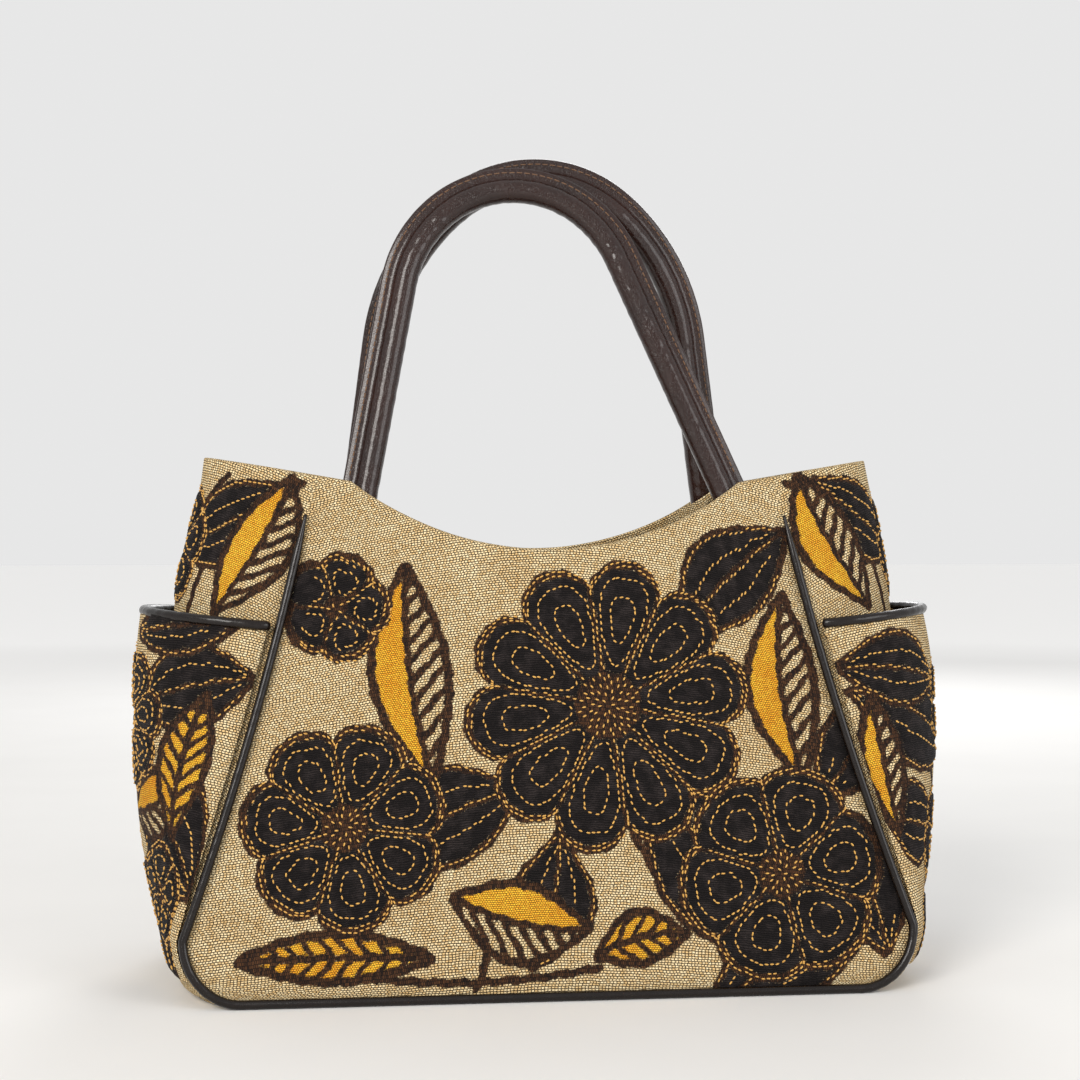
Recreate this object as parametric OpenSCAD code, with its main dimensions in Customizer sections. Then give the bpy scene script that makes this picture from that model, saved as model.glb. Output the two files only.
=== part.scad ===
// Tapestry shoulder bag: piped cloth panels, two side pockets and two rolled handles.
// Origin at the middle of the base, +Z up, front panel towards -Y, millimetres.

/* [Body] */
// Height of the side corners of the rim
body_h = 248; // [210:1:290]
// How far the rim lies below the side corners where the wings end at the handles
wing_drop = 12; // [4:1:24]
// How far the scoop of the rim dips below the handles
scoop_drop = 32; // [10:1:50]
// Width of the front panel at its widest, just above the bottom corners
base_w = 336; // [280:1:400]
// Width of the front panel at the rim
mouth_w = 216; // [190:1:260]
// Depth of the bag at the base
base_d = 144; // [110:1:180]
// Depth of the bag at the rim, from seam to seam
mouth_d = 60; // [44:1:100]
// Reach of each wing beyond the front panel at the rim
wing_w = 56; // [30:1:70]
// How far the side panels stand out beyond the front panel at the base
side_bow = 8; // [4:1:20]
// Fullness of the side panels at half height
side_bulge = 12.5; // [0:0.5:20]
// Fullness of the front and back panels at half height
front_bulge = 6; // [0:0.5:14]
// Hollow of the A-line seam at half height
seam_hollow = 4; // [0:0.5:10]
// Width of the rounded bottom corner of the front panel
corner_w = 26; // [12:1:40]
// Height of the rounded bottom corner of the front panel
corner_h = 30; // [14:1:44]
// Rounding of the side panels into the base
base_edge_r = 6; // [3:0.5:10]

/* [Cloth] */
// Thickness of the tapestry panels
panel_t = 2.2; // [1.2:0.1:3]
// Thickness of the lining
lining_t = 0.8; // [0.5:0.1:1.5]
// Thickness of the rim facing
facing_t = 1.2; // [0.8:0.1:2]
// Depth of the rim facing
facing_h = 36; // [28:1:50]
// Thickness of the base panel
base_t = 2.2; // [1.2:0.1:4]
// Thickness of the base board
board_t = 2.5; // [1.5:0.1:5]
// Room between the base board and the panels round it
board_gap = 3; // [1:0.5:8]

/* [Pockets] */
// Height of the bottom seam of a side pocket
pocket_low = 12; // [8:1:40]
// Height of the pocket mouth at the piped seams
pocket_h = 168; // [120:1:180]
// Rise of the pocket mouth at its middle
pocket_rise = 6; // [0:1:12]
// How far the pocket mouth stands off the side panel
pocket_gape = 13; // [6:0.5:24]
// Thickness of the pocket cloth
pocket_t = 2; // [1:0.1:3]
// Diameter of the bound pocket mouth
binding_d = 4.6; // [3:0.1:6]

/* [Piping] */
// Diameter of the piping
piping_d = 4.2; // [3:0.1:6]
// How far below the rim the piping tapers out
piping_drop = 18; // [8:1:40]

/* [Handles] */
// Diameter of the rolled handle cover
handle_d = 11.5; // [8:0.5:16]
// Wall of the handle cover
cover_t = 1.4; // [1:0.1:2.5]
// Width of the stitched flange on the outer side of the handle
flange_w = 6; // [3:0.5:10]
// Thickness of the stitched flange
flange_t = 2.4; // [1.6:0.1:4]
// Distance of the handle foot from the piped seam along the rim
handle_inset = 23; // [22:1:50]
// Lean of the legs of the front handle
front_lean = 17; // [14:0.5:24]
// Sideways sway of the front handle
front_sway = 6.5; // [-8:0.5:8]
// Radius of the top bend of the front handle
front_top_r = 52; // [40:1:58]
// Radius of the bends beside the top of the front handle
front_shoulder_r = 60; // [50:1:72]
// Lean of the legs of the back handle
back_lean = 8; // [7:0.5:20]
// Sideways sway of the back handle
back_sway = 0.5; // [-4:0.5:4]
// Radius of the top bend of the back handle
back_top_r = 61; // [50:1:62]
// Radius of the bends beside the top of the back handle
back_shoulder_r = 102; // [80:1:104]
// Lean of the handles where the top bend begins
shoulder_lean = 50; // [44:1:56]
// Length of handle sewn in behind the rim
tuck = 16; // [10:1:24]
// Space between the two handles at the top
handle_gap = 1.5; // [0.5:0.5:20]

/* [Woven fields] */
// Height of the raised pile and of the gold weave above the cloth
field_t = 0.8; // [0.4:0.1:2]

/* [Closure] */
// Diameter of the magnetic snap
snap_d = 18; // [14:0.5:22]
// Thickness of the snap socket
socket_t = 3; // [2:0.1:4]
// Diameter of the stud and its hole
stud_d = 6; // [4:0.5:8]
// Height of the stud above its plate
stud_h = 2; // [1:0.1:3]
// Depth of the snap below the rim
snap_drop = 18; // [14:1:22]

/* [Hidden] */
$fn = 64;

// Clearances between cloth layers, behind the lining and the pockets,
// along seams and round the handle cores
layer_gap = 0.3;
lining_gap = 2;
pocket_gap = 0.9;
seam_gap = 0.9;
core_gap = 0.1;

// Counts of rows and columns in the cloth surfaces
panel_rows = 11;
side_cols = 14;
scoop_cols = 5;
lining_rows = 4;
facing_rows = 4;
pocket_rows = 8;
pocket_cols = 14;

// Sides of the tubes and handles, and the largest turn between two stations of a bend
tube_sides = 8;
handle_sides = 12;
bend_step = 10;

// Half sizes and heights that several pieces share
mouth_x = mouth_w / 2;
wing_x = mouth_x + wing_w;
wing_h = body_h - wing_drop;
handle_r = handle_d / 2;
handle_x = mouth_x - handle_inset;
scoop_x = handle_x + handle_r;
piping_r = piping_d / 2;
binding_r = binding_d / 2;
floor_z = base_t + board_t;
facing_inset = panel_t + layer_gap;
lining_inset = panel_t + lining_gap;

// Pouches of the facing in which the handle feet sit: inner foot, flat stretch, depth
pouch_room = 2;
foot_room = 4;
widest_lean = max(front_lean + abs(front_sway), back_lean + abs(back_sway));
pouch_in = handle_x - 2 * handle_d;
pouch_a = handle_x - handle_r - seam_gap;
pouch_b = handle_x + handle_r + flange_w + tuck * tan(widest_lean);
pouch_depth = handle_d + pouch_room;
pouch_h = tuck + foot_room;

// Handle shapes as lean, sway, shoulder radius and top radius
front_arch = [front_lean, front_sway, front_shoulder_r, front_top_r];
back_arch = [back_lean, -back_sway, back_shoulder_r, back_top_r];

// Woven flowers as place across, height, radius, petals, turn and depth of the notches
panel_flowers = [
    [26, 132, 64, 10, 8, 0.22], [-96, 78, 44, 7, 20, 0.2],
    [106, 54, 46, 6, 12, 0.16], [-100, 178, 22, 5, 0, 0.2]
];
pocket_flowers = [[6, 108, 31, 8, 10, 0.2], [-22, 48, 25, 6, 0, 0.16]];

// Woven leaves as place across, height, angle, length, width and bow, whole or half gold
whole_leaves = [[20, 20, 12, 40, 20, 3], [-58, 20, 180, 84, 18, -1]];
half_leaves = [[-56, 100, 97, 96, 32, 4], [-46, 46, -14, 62, 32, -4], [118, 98, 95, 84, 30, 5]];

cloth = [0.72, 0.58, 0.40];
dark_leather = [0.20, 0.11, 0.09];
piping_brown = [0.15, 0.13, 0.12];
lining_tan = [0.62, 0.50, 0.36];
board_grey = [0.45, 0.42, 0.38];
rope_white = [0.85, 0.82, 0.75];
antique_brass = [0.60, 0.48, 0.26];
pile_black = [0.07, 0.06, 0.07];
gold_weave = [0.85, 0.58, 0.17];

function lerp(a, b, t) = a + (b - a) * t;
function unit(v) = v / norm(v);
function flat(lists) = [for (list = lists) each list];
function about_face(points) = [for (p = points) [-p.x, -p.y, p.z]];

// Fall of a quarter ellipse from 1 at the bottom to 0 at height h
function corner_fall(z, h) = z >= h ? 0 : 1 - sqrt(1 - pow(1 - z / h, 2));

// Half width and half depth of the piped seam at a height; the corner ends level with the piping
function seam_x(z) =
    let (
        t = max(0, (z - corner_h) / (body_h - corner_h)),
        fall = corner_fall(max(0, z - piping_r), corner_h - piping_r)
    )
    lerp(base_w / 2, mouth_x, t) - seam_hollow * sin(180 * t) - corner_w * fall;
function seam_y(z) = lerp(base_d, mouth_d, z / body_h) / 2;

// Half width of the bag at the middle of a side panel
function side_x(z) =
    lerp(base_w / 2 + side_bow, wing_x, z / body_h)
    + side_bulge * sin(180 * z / body_h)
    - base_edge_r * corner_fall(z, base_edge_r);

// Height of the rim above a place along the mouth
function rim_h(x) =
    x < scoop_x
    ? wing_h - scoop_drop * (1 - pow(x / scoop_x, 2))
    : lerp(wing_h, body_h, (x - scoop_x) / (wing_x - scoop_x));
function front_rim(u) = rim_h(abs(u) * mouth_x);
function side_rim(a) = rim_h(mouth_x + wing_w * sin(a));

// Point of the front wall at u from -1 to 1 across it, set in from the outer face
function front_depth(u, z) = seam_y(z) + front_bulge * sin(180 * z / body_h) * (1 - u * u);
function front_point(u, z, inset) = [u * seam_x(z), inset - front_depth(u, z), z];

// Point of the right side wall at an angle from 0 at the front seam to 180 at the back seam
function side_point(a, z, inset) = [
    seam_x(z) + (side_x(z) - inset - seam_x(z)) * sin(a),
    -(seam_y(z) - inset) * cos(a),
    z
];

// Columns of the front wall, closer together at the handle pouches
half_columns = concat(
    [for (i = [1:scoop_cols]) pouch_in * i / scoop_cols],
    [pouch_a, (pouch_a + pouch_b) / 2, pouch_b, mouth_x]
) / mouth_x;
front_columns = concat([for (i = [len(half_columns) - 1:-1:0]) -half_columns[i]], [0], half_columns);
side_columns = [for (i = [0:side_cols]) 180 * i / side_cols];
inner_side_columns = [for (i = [1:side_cols - 1]) side_columns[i]];

// Inward swing of the facing round a handle foot, at a place along the rim and a depth below it
function pouch_across(x) =
    x < pouch_a ? max(0, (x - pouch_in) / (pouch_a - pouch_in))
    : x < pouch_b ? 1 : max(0, (mouth_x - x) / (mouth_x - pouch_b));
function pouch_down(drop) = min(1, (facing_h - drop) / (facing_h - pouch_h));

// One ring round the whole bag; level gives the height from the height of the rim above it
function ring(level, inset, pouch = 0) =
    let (half = concat(
        [for (u = front_columns)
            let (z = level(front_rim(u)))
            front_point(u, z, inset + pouch * pouch_across(abs(u) * mouth_x))],
        [for (a = inner_side_columns) side_point(a, level(side_rim(a)), inset)]
    ))
    concat(half, about_face(half));

function quad(a, b, c, d) = [[a, b, c], [a, c, d]];

// Slab between two grids of points with rows from bottom to top and columns from left to right
module slab(outer, inner) {
    rows = len(outer);
    cols = len(outer[0]);
    function at(k, j) = k * cols + j;
    function in(k, j) = rows * cols + at(k, j);
    top = rows - 1;
    end = cols - 1;
    cells = [for (k = [0:top - 1], j = [0:end - 1]) each concat(
        quad(at(k, j), at(k + 1, j), at(k + 1, j + 1), at(k, j + 1)),
        quad(in(k, j), in(k, j + 1), in(k + 1, j + 1), in(k + 1, j))
    )];
    bottom_and_top = [for (j = [0:end - 1]) each concat(
        quad(at(0, j), at(0, j + 1), in(0, j + 1), in(0, j)),
        quad(at(top, j + 1), at(top, j), in(top, j), in(top, j + 1))
    )];
    ends = [for (k = [0:top - 1]) each concat(
        quad(at(k + 1, 0), at(k, 0), in(k, 0), in(k + 1, 0)),
        quad(at(k, end), at(k + 1, end), in(k + 1, end), in(k, end))
    )];
    polyhedron(concat(flat(outer), flat(inner)), concat(cells, bottom_and_top, ends), convexity = 8);
}

// Faces of a closed wall of rings, seen from outside; first is the index of its first point
function wall_faces(first, rows, cols) = [
    for (k = [0:rows - 2], j = [0:cols - 1])
    let (a = first + k * cols, n = (j + 1) % cols)
    each quad(a + j, a + cols + j, a + cols + n, a + n)
];
function reversed(faces) = [for (f = faces) [f[0], f[2], f[1]]];

// Band between an outer and an inner stack of rings, open at the bottom unless it has a floor
module band(outer, inner, floored = false) {
    rows = len(outer);
    cols = len(outer[0]);
    inner_first = rows * cols;
    last = (rows - 1) * cols;
    hubs = 2 * inner_first;
    rim = [for (j = [0:cols - 1])
        let (n = (j + 1) % cols)
        each quad(last + n, last + j, inner_first + last + j, inner_first + last + n)];
    foot = [for (j = [0:cols - 1])
        let (n = (j + 1) % cols)
        each floored
            ? [[hubs, j, n], [hubs + 1, inner_first + n, inner_first + j]]
            : quad(j, n, inner_first + n, inner_first + j)];
    middles = [[0, 0, outer[0][0].z], [0, 0, inner[0][0].z]];
    polyhedron(
        concat(flat(outer), flat(inner), floored ? middles : []),
        concat(wall_faces(0, rows, cols), reversed(wall_faces(inner_first, rows, cols)), rim, foot),
        convexity = 8
    );
}

// Solid skinned over rings of points, closed by a cap at each end
module skin(rings) {
    sides = len(rings[0]);
    end = (len(rings) - 1) * sides;
    start_cap = [[for (k = [0:sides - 1]) k]];
    end_cap = [[for (k = [sides - 1:-1:0]) end + k]];
    polyhedron(
        flat(rings),
        concat(wall_faces(0, len(rings), sides), start_cap, end_cap),
        convexity = 8
    );
}

// Round tube along a path; side is a direction that the path never follows
module tube(path, radii, side) {
    last = len(path) - 1;
    skin([for (i = [0:last])
        let (
            ahead = unit(path[min(last, i + 1)] - path[max(0, i - 1)]),
            across = unit(cross(side, ahead)),
            up = cross(ahead, across)
        )
        [for (k = [0:tube_sides - 1])
            let (a = 360 * (k + 0.5) / tube_sides)
            path[i] + radii[i] * (cos(a) * across + sin(a) * up)]]);
}

// Rows crowd towards the rounded bottom corners
function row_share(k) = pow(k / panel_rows, 1.5);

module wall_panel() {
    function grid(inset) = [for (k = [0:panel_rows])
        [for (u = front_columns) front_point(u, front_rim(u) * row_share(k), inset)]];
    color(cloth) slab(grid(0), grid(panel_t));
}

module side_panel() {
    function grid(inset) = [for (k = [0:panel_rows])
        [for (a = side_columns) side_point(a, side_rim(a) * row_share(k), inset)]];
    color(cloth) slab(grid(0), grid(panel_t));
}

module front_panel() { wall_panel(); }
module back_panel() { rotate(180) wall_panel(); }
module right_side_panel() { side_panel(); }
module left_side_panel() { rotate(180) side_panel(); }

function base_outline(inset) =
    [for (p = ring(function (rim) 0, panel_t + inset)) [p.x, p.y]];

module base_panel() {
    color(cloth) linear_extrude(base_t) polygon(base_outline(seam_gap));
}

module base_board() {
    color(board_grey) translate([0, 0, base_t]) linear_extrude(board_t) polygon(base_outline(board_gap));
}

module lining() {
    function stack(inset, low) = [for (k = [0:lining_rows])
        ring(function (rim) lerp(low, rim - facing_h - layer_gap, k / lining_rows), inset)];
    color(lining_tan)
        band(
            stack(lining_inset, floor_z),
            stack(lining_inset + lining_t, floor_z + lining_t),
            floored = true
        );
}

module rim_facing() {
    function stack(inset) = [for (k = [0:facing_rows])
        let (drop = facing_h * (1 - k / facing_rows))
        ring(function (rim) rim - drop, inset, pouch_depth * pouch_down(drop))];
    color(cloth) band(stack(facing_inset), stack(facing_inset + facing_t));
}

// Angle at which a pocket begins, clear of the piping along the side panel
function pocket_start(z) =
    let (a = side_x(z) - seam_x(z), b = seam_y(z))
    (sqrt(a * a + 2 * b * (piping_d + seam_gap)) - a) / b * 180 / PI;

// Point of the right pocket at shares across and up it, at a depth behind its inner face
function pocket_point(across, up, thick) =
    let (
        z = lerp(pocket_low, pocket_h + pocket_rise * sin(180 * across), up),
        start = pocket_start(z),
        fall = 1 - pow(1 - up, 2.2),
        stand_off = pocket_gap + pocket_gape * fall * pow(sin(180 * across), 0.7)
    )
    side_point(lerp(start, 180 - start, across), z, -stand_off - thick);

module pocket() {
    function grid(thick) = [for (k = [0:pocket_rows])
        [for (j = [0:pocket_cols]) pocket_point(j / pocket_cols, pow(k / pocket_rows, 1.3), thick)]];
    color(cloth) slab(grid(pocket_t), grid(0));
}

module pocket_binding() {
    path = [for (j = [0:pocket_cols])
        let (across = j / pocket_cols, thick = lerp(binding_r, pocket_t / 2, sin(180 * across)))
        pocket_point(across, 1, thick) + [0, 0, binding_r]];
    color(piping_brown) tube(path, [for (p = path) binding_r], [0, 0, 1]);
}

module right_pocket() { pocket(); }
module left_pocket() { rotate(180) pocket(); }
module right_pocket_binding() { pocket_binding(); }
module left_pocket_binding() { rotate(180) pocket_binding(); }

// Centre of the piping beside the seam, along the line that halves the corner there
function piping_point(z) =
    let (
        step = side_columns[1],
        turn = atan2(seam_y(z) * (1 - cos(step)), (side_x(z) - seam_x(z)) * sin(step)) / 2,
        out = piping_r + layer_gap
    )
    [seam_x(z) + out * sin(turn), -seam_y(z) - out * cos(turn), z];

module panel_piping() {
    leg_steps = 12;
    corner_steps = 6;
    taper_steps = 3;
    piping_top = front_rim(1) - piping_drop;
    leg = [for (i = [0:leg_steps]) piping_point(lerp(piping_top, corner_h, i / leg_steps))];
    corner = [for (i = [1:corner_steps])
        let (a = 90 * i / corner_steps)
        piping_point(piping_r + (corner_h - piping_r) * (1 - sin(a)))];
    right_half = concat(leg, corner);
    left_half = [for (i = [len(right_half) - 1:-1:0])
        let (p = right_half[i]) [-p.x, p.y, p.z]];
    path = concat(right_half, left_half);
    radii = [for (i = [0:len(path) - 1])
        piping_r * min(1, 0.4 + 0.6 * min(i, len(path) - 1 - i) / taper_steps)];
    color(piping_brown) tube(path, radii, [0, 1, 0]);
}

module front_piping() { panel_piping(); }
module back_piping() { rotate(180) panel_piping(); }

// Handle in its own plane: left and right leg lengths that close the arch over its two feet
function arch_legs(arch) =
    let (
        left = arch[0] - arch[1],
        right = arch[0] + arch[1],
        m = shoulder_lean,
        wide = 2 * handle_x - arch[2] * (cos(left) + cos(right) - 2 * cos(m)) - 2 * arch[3] * cos(m),
        high = arch[2] * (sin(left) - sin(right))
    )
    [wide * cos(right) + high * sin(right), wide * cos(left) - high * sin(left)]
    / sin(left + right);
function arch_rise(arch) =
    let (left = arch[0] - arch[1])
    arch_legs(arch)[0] * cos(left)
    + arch[2] * (sin(shoulder_lean) - sin(left)) + arch[3] * (1 - sin(shoulder_lean));

// Runs of the arch from foot to foot, each with its length, its bend radius and its turn
function arch_runs(arch) =
    let (legs = arch_legs(arch))
    [
        [legs[0] + tuck, 0, 0],
        [0, arch[2], shoulder_lean - arch[0] + arch[1]],
        [0, arch[3], 180 - 2 * shoulder_lean],
        [0, arch[2], shoulder_lean - arch[0] - arch[1]],
        [legs[1] + tuck, 0, 0]
    ];

// Stations along the runs as place across, place up and heading from the vertical
function run_stations(run, from) =
    run[2] == 0
    ? [from + [run[0] * sin(from[2]), run[0] * cos(from[2]), 0]]
    : let (steps = ceil(run[2] / bend_step))
      [for (i = [1:steps])
          let (a = from[2] + run[2] * i / steps)
          [
              from[0] + run[1] * (cos(from[2]) - cos(a)),
              from[1] + run[1] * (sin(a) - sin(from[2])),
              a
          ]];
function walk(runs, stations, i = 0) =
    i == len(runs)
    ? stations
    : walk(runs, concat(stations, run_stations(runs[i], stations[len(stations) - 1])), i + 1);
function arch_stations(arch) = walk(arch_runs(arch), [[0, 0, arch[0] - arch[1]]]);

// Rings of a section along the arch; the section's +X side is the outer side of the arch
function arch_rings(arch, section) =
    [for (s = arch_stations(arch))
        [for (c = section) [s[0] - c.x * cos(s[2]), -c.y, s[1] + c.x * sin(s[2])]]];

// Stands an arch at the front rim, leaning in so that the two arches meet at the top
module at_front_rim(arch) {
    foot_y = front_depth(handle_x / mouth_x, wing_h) - facing_inset - handle_r;
    lean_in = asin((foot_y - handle_r - handle_gap / 2) / arch_rise(arch));
    left = arch[0] - arch[1];
    translate([-handle_x, -foot_y, wing_h]) rotate([-lean_in, 0, 0])
        translate([-tuck * sin(left), 0, -tuck * cos(left)]) children();
}

// Section of a handle at a radius, its round part from one side of the flange to the other
flange_angle = asin(flange_t / handle_d);
function round_section(r) =
    [for (i = [0:handle_sides])
        let (a = lerp(flange_angle, 360 - flange_angle, i / handle_sides))
        r * [cos(a), sin(a)]];

module handle_cover(arch) {
    bore_r = handle_r - cover_t;
    tip = handle_r + flange_w;
    outer = concat(round_section(handle_r), [[tip, -flange_t / 2], [tip, flange_t / 2]]);
    bore_tip = [for (side = [-1, 1]) bore_r * [cos(flange_angle / 2), side * sin(flange_angle / 2)]];
    inner = concat(round_section(bore_r), bore_tip);
    color(dark_leather) at_front_rim(arch) band(arch_rings(arch, outer), arch_rings(arch, inner));
}

module handle_core(arch) {
    section = round_section(handle_r - cover_t - core_gap);
    color(rope_white) at_front_rim(arch) skin(arch_rings(arch, section));
}

module front_handle() { handle_cover(front_arch); }
module back_handle() { rotate(180) handle_cover(back_arch); }
module front_handle_core() { handle_core(front_arch); }
module back_handle_core() { rotate(180) handle_core(back_arch); }

// Places on the cloth, lifted off it, for a flat motif drawn as across and height
on_panel = function (x, z, lift) front_point(x / seam_x(z), z, -lift);
pocket_arc = 160;
on_pocket = function (x, z, lift)
    pocket_point(0.5 + x / pocket_arc, z / (pocket_h - pocket_low), pocket_t + lift);

// Edge of a flower at an angle, sampled at its petal tips, notches and the places between
function flower_edge(f, a) = f[2] * (1 - f[5] * (1 - pow(abs(cos(f[3] * (a - f[4]) / 2)), 0.55)));
function flower_loop(f, on, share, lift) =
    let (count = 4 * f[3])
    [for (i = [0:count - 1])
        let (a = f[4] + 360 * i / count, r = share * flower_edge(f, a))
        on(f[0] + r * cos(a), f[1] + r * sin(a), lift)];

// Raised field with the outline of a flower
module flower_field(f, on, rounds) {
    top = layer_gap + field_t;
    loops = concat(
        [for (i = [1:rounds]) flower_loop(f, on, i / rounds, layer_gap)],
        [for (i = [rounds:-1:1]) flower_loop(f, on, i / rounds, top)]
    );
    cols = len(loops[0]);
    last = (len(loops) - 1) * cols;
    hub = len(loops) * cols;
    caps = [for (j = [0:cols - 1])
        let (n = (j + 1) % cols)
        each [[hub, j, n], [hub + 1, last + n, last + j]]];
    hubs = [on(f[0], f[1], layer_gap), on(f[0], f[1], top)];
    polyhedron(concat(flat(loops), hubs), concat(wall_faces(0, 2 * rounds, cols), caps), convexity = 6);
}

// Raised field with the outline of a leaf, on both sides of its rib or on one
module leaf_field(l, on, sides) {
    steps = 7;
    ends = 0.04;
    function grid(lift) = [for (i = [0:steps])
        let (
            t = lerp(ends, 1 - ends, i / steps),
            half = l[4] / 2 * sin(180 * t),
            rib = l[5] * 4 * t * (1 - t)
        )
        [for (side = sides)
            let (along = t * l[3], off = rib + side * half)
            on(
                l[0] + along * cos(l[2]) - off * sin(l[2]),
                l[1] + along * sin(l[2]) + off * cos(l[2]),
                lift
            )]];
    slab(grid(layer_gap + field_t), grid(layer_gap));
}

module front_dark_fields() {
    color(pile_black) for (f = panel_flowers) flower_field(f, on_panel, 2);
}

module front_gold_fields() {
    color(gold_weave) {
        for (l = whole_leaves) leaf_field(l, on_panel, [1, 0, -1]);
        for (l = half_leaves) leaf_field(l, on_panel, [1, 0]);
    }
}

module pocket_fields() {
    color(pile_black) for (f = pocket_flowers) flower_field(f, on_pocket, 3);
}

module right_pocket_fields() { pocket_fields(); }
module left_pocket_fields() { rotate(180) pocket_fields(); }

// Stands a turned closure part on the inner face of the front facing, its axis square to the cloth
module on_facing() {
    z = front_rim(0) - snap_drop;
    reach = snap_d / 2;
    slope = atan2(front_depth(0, z - reach) - front_depth(0, z + reach), 2 * reach);
    seat = facing_inset + facing_t + layer_gap;
    translate(front_point(0, z, seat)) rotate([-90 - slope, 0, 0]) children();
}

module snap_socket() {
    color(antique_brass) on_facing() difference() {
        cylinder(d = snap_d, h = socket_t);
        translate([0, 0, socket_t - stud_h]) cylinder(d = stud_d + seam_gap, h = stud_h + seam_gap);
    }
}

module snap_stud() {
    plate_t = socket_t - stud_h;
    color(antique_brass) rotate(180) on_facing() {
        cylinder(d = snap_d, h = plate_t);
        cylinder(d = stud_d, h = plate_t + stud_h);
    }
}

front_panel();
back_panel();
left_side_panel();
right_side_panel();
base_panel();
base_board();
lining();
rim_facing();
left_pocket();
right_pocket();
left_pocket_binding();
right_pocket_binding();
front_piping();
back_piping();
front_handle();
back_handle();
front_handle_core();
back_handle_core();
snap_socket();
snap_stud();
front_dark_fields();
front_gold_fields();
left_pocket_fields();
right_pocket_fields();
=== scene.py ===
"""Looks of the tapestry shoulder bag: woven panels, pockets, piping and rolled leather handles."""
import math

import bpy
import numpy as np
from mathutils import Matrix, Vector


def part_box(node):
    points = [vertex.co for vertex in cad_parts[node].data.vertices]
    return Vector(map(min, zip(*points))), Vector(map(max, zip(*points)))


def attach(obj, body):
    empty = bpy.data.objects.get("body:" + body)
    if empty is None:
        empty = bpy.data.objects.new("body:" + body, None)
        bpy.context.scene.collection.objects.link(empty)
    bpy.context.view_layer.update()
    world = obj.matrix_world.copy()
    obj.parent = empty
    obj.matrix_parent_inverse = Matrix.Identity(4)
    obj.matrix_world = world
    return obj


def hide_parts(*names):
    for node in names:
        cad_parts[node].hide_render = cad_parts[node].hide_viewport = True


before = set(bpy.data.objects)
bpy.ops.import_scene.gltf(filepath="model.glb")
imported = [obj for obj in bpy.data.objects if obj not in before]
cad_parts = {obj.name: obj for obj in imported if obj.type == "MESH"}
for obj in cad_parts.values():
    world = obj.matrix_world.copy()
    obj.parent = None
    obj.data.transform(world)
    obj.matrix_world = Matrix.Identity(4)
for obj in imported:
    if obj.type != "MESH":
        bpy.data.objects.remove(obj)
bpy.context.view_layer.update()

MM = 0.001

# Driving sizes in millimetres, as the solids have them
BODY_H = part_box("left_side_panel")[1][2] / MM
BASE_W = (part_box("front_panel")[1][0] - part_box("front_panel")[0][0]) / MM
BASE_D = (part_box("left_side_panel")[1][1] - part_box("left_side_panel")[0][1]) / MM
WING_DROP, SCOOP_DROP = 12, 32
MOUTH_W, MOUTH_D, WING_W = 216, 60, 56
SIDE_BOW, SIDE_BULGE, FRONT_BULGE, SEAM_HOLLOW = 8, 12.5, 6, 4
CORNER_W, CORNER_H, BASE_EDGE_R = 26, 30, 6
PANEL_T, LINING_T, FACING_T, FACING_H = 2.2, 0.8, 1.2, 36
FLOOR_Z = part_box("base_board")[1][2] / MM
POCKET_LOW, POCKET_H, POCKET_RISE, POCKET_GAPE, POCKET_T = 12, 168, 6, 13, 2
POCKET_GAP, LINING_GAP, LAYER_GAP, SEAM_GAP = 0.9, 2, 0.3, 0.9
BINDING_R, PIPING_R, PIPING_DROP = 2.3, 2.1, 18
HANDLE_R, FLANGE_W, FLANGE_T, HANDLE_INSET = 5.75, 6, 2.4, 23
SHOULDER_LEAN, TUCK, HANDLE_GAP = 50, 16, 1.5
# Handle shapes as lean, sway, shoulder radius and top radius
FRONT_ARCH, BACK_ARCH = (17, 6.5, 60, 52), (8, -0.5, 102, 61)

MOUTH_X = MOUTH_W / 2
WING_X = MOUTH_X + WING_W
WING_H = BODY_H - WING_DROP
HANDLE_X = MOUTH_X - HANDLE_INSET
SCOOP_X = HANDLE_X + HANDLE_R
FACING_INSET = PANEL_T + LAYER_GAP
LINING_INSET = PANEL_T + LINING_GAP

# Grid step of the cloth meshes, and heights of the woven relief
STEP = 1.3
PILE, GOLD_RISE, BAND_DIP, SLACK = 0.9, 0.25, 0.35, 0.9
# Width of the woven outlines, and the distance that stands for outside every field
BAND_W, OUTSIDE = 3.4, 40.0
# Half length, half width and spacing of the gold stitches, and spacing of the handles' seam stitches
BEAD_L, BEAD_W, BEAD_PITCH, SEAM_PITCH = 1.1, 0.46, 2.7, 3.2
# Columns of a side panel's solid, which set where the piping lies
SIDE_COLS = 14
# Pouches of the facing at the handle feet: place past the foot, half width and fall
POUCH_OUT, POUCH_HALF, POUCH_FALL = 4, 9, 6.5


def lerp(a, b, t):
    return a + (b - a) * t


def sind(a):
    return np.sin(np.radians(a))


def cosd(a):
    return np.cos(np.radians(a))


def smooth(t):
    t = np.clip(t, 0, 1)
    return t * t * (3 - 2 * t)


# Shape of the bag

def corner_fall(z, h):
    t = np.clip(1 - z / h, 0, 1)
    return 1 - np.sqrt(1 - t * t)


def seam_x(z):
    t = np.maximum(0, (z - CORNER_H) / (BODY_H - CORNER_H))
    fall = corner_fall(np.maximum(0, z - PIPING_R), CORNER_H - PIPING_R)
    return lerp(BASE_W / 2, MOUTH_X, t) - SEAM_HOLLOW * sind(180 * t) - CORNER_W * fall


def seam_y(z):
    return lerp(BASE_D, MOUTH_D, z / BODY_H) / 2


def side_x(z):
    return (lerp(BASE_W / 2 + SIDE_BOW, WING_X, z / BODY_H) + SIDE_BULGE * sind(180 * z / BODY_H)
            - BASE_EDGE_R * corner_fall(z, BASE_EDGE_R))


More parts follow.
